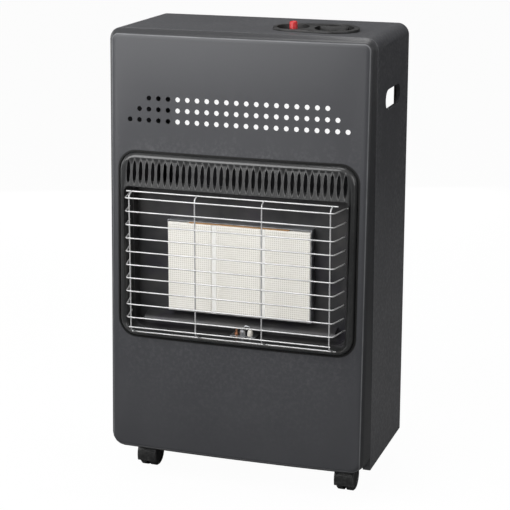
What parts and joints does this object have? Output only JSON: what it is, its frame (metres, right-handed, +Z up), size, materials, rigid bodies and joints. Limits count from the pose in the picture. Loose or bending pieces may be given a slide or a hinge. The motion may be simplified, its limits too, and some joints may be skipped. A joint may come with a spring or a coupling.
{
  "type": "portable gas cabinet heater",
  "caption": "Portable gas cabinet heater: steel cabinet on castors, infrared ceramic burner behind a wire guard, ignition button and control knob on top, lift-off rear cover.",
  "frame": {"origin": "centre of the plan of the whole heater, on the floor under its wheels", "axes": "+Z up, +X to the right as seen from the front, +Y from the burner towards the rear cover"},
  "size_m": [0.42, 0.3768, 0.728],
  "materials": {
    "charcoal_paint": "satin charcoal powder coat",
    "black_enamel": "glossy black stove enamel",
    "sooty_steel": "dull heat-darkened steel",
    "chrome_wire": "bright plated wire",
    "plaque_ceramic": "matt off-white, finely perforated",
    "seal_fibre": "matt white fibre board",
    "tan_fibre": "matt tan fibre strip",
    "porcelain": "white glaze",
    "zinc_steel": "zinc-plated pressed steel",
    "brass": "turned brass",
    "copper_tube": "drawn copper tube",
    "black_plastic": "fine-grained black moulding",
    "red_plastic": "glossy red moulding",
    "wheel_plastic": "black moulded wheel",
    "lead_rubber": "matt black insulation"
  },
  "bodies": {
    "cabinet": {"cabinet_shell": "charcoal_paint", "front_panel": "charcoal_paint", "burner_surround": "black_enamel", "wire_guard": "chrome_wire", "reflector_box": "sooty_steel", "deflector_shelf": "sooty_steel", "burner_frame": "zinc_steel", "seal_left": "seal_fibre", "seal_right": "seal_fibre", "seal_top": "tan_fibre", "gas_manifold": "zinc_steel", "pilot_bracket": "zinc_steel", "pilot_burner": "zinc_steel", "electrode": "porcelain", "spark_rod": "zinc_steel", "thermocouple": "copper_tube", "control_console": "black_plastic", "igniter_body": "black_plastic", "igniter_nut": "black_plastic", "gas_valve": "brass", "hose_inlet": "brass", "supply_pipe": "copper_tube", "pilot_tube": "copper_tube", "ignition_lead": "lead_rubber", "base_tray": "zinc_steel", "cover_channel_left": "zinc_steel", "cover_channel_right": "zinc_steel", "plaque_left": "plaque_ceramic", "burner_left": "zinc_steel", "injector_left": "brass", "plaque_middle": "plaque_ceramic", "burner_middle": "zinc_steel", "injector_middle": "brass", "plaque_right": "plaque_ceramic", "burner_right": "zinc_steel", "injector_right": "brass", "castor_plate_front_left": "zinc_steel", "castor_plate_front_right": "zinc_steel", "castor_plate_rear_left": "zinc_steel", "castor_plate_rear_right": "zinc_steel"},
    "rear_cover": {"rear_cover": "charcoal_paint"},
    "igniter_button": {"igniter_button": "red_plastic"},
    "valve_turning": {"valve_rotor": "brass"},
    "knob": {"control_knob": "black_plastic", "valve_spindle": "zinc_steel"},
    "castor_front_left": {"castor_hood_front_left": "black_plastic"},
    "wheels_front_left": {"castor_wheels_front_left": "wheel_plastic"},
    "castor_front_right": {"castor_hood_front_right": "black_plastic"},
    "wheels_front_right": {"castor_wheels_front_right": "wheel_plastic"},
    "castor_rear_left": {"castor_hood_rear_left": "black_plastic"},
    "wheels_rear_left": {"castor_wheels_rear_left": "wheel_plastic"},
    "castor_rear_right": {"castor_hood_rear_right": "black_plastic"},
    "wheels_rear_right": {"castor_wheels_rear_right": "wheel_plastic"}
  },
  "joints": [
    {"name": "cover_lift", "type": "slide", "parent": "cabinet", "child": "rear_cover", "axis": [0, 0, 1], "range_m": [0, 0.46]},
    {"name": "igniter_press", "type": "slide", "parent": "cabinet", "child": "igniter_button", "axis": [0, 0, -1], "range_m": [0, 0.006], "stiffness_N_per_m": 400, "springref_m": -0.004},
    {"name": "knob_turn", "type": "hinge", "parent": "cabinet", "child": "valve_turning", "pos_m": [0.126, -0.06159, 0.69], "axis": [0, 0, 1], "range_deg": [0, 210]},
    {"name": "knob_push", "type": "slide", "parent": "valve_turning", "child": "knob", "axis": [0, 0, -1], "range_m": [0, 0.004], "stiffness_N_per_m": 600, "springref_m": -0.004},
    {"name": "swivel_front_left", "type": "hinge", "parent": "cabinet", "child": "castor_front_left", "pos_m": [-0.165, -0.10359, 0.022], "axis": [0, 0, 1], "continuous": true},
    {"name": "roll_front_left", "type": "hinge", "parent": "castor_front_left", "child": "wheels_front_left", "pos_m": [-0.165, -0.09159, 0.022], "axis": [1, 0, 0], "continuous": true},
    {"name": "swivel_front_right", "type": "hinge", "parent": "cabinet", "child": "castor_front_right", "pos_m": [0.165, -0.10359, 0.022], "axis": [0, 0, 1], "continuous": true},
    {"name": "roll_front_right", "type": "hinge", "parent": "castor_front_right", "child": "wheels_front_right", "pos_m": [0.165, -0.09159, 0.022], "axis": [1, 0, 0], "continuous": true},
    {"name": "swivel_rear_left", "type": "hinge", "parent": "cabinet", "child": "castor_rear_left", "pos_m": [-0.118, 0.11041, 0.022], "axis": [0, 0, 1], "continuous": true},
    {"name": "roll_rear_left", "type": "hinge", "parent": "castor_rear_left", "child": "wheels_rear_left", "pos_m": [-0.118, 0.12241, 0.022], "axis": [1, 0, 0], "continuous": true},
    {"name": "swivel_rear_right", "type": "hinge", "parent": "cabinet", "child": "castor_rear_right", "pos_m": [0.118, 0.11041, 0.022], "axis": [0, 0, 1], "continuous": true},
    {"name": "roll_rear_right", "type": "hinge", "parent": "castor_rear_right", "child": "wheels_rear_right", "pos_m": [0.118, 0.12241, 0.022], "axis": [1, 0, 0], "continuous": true}
  ]
}
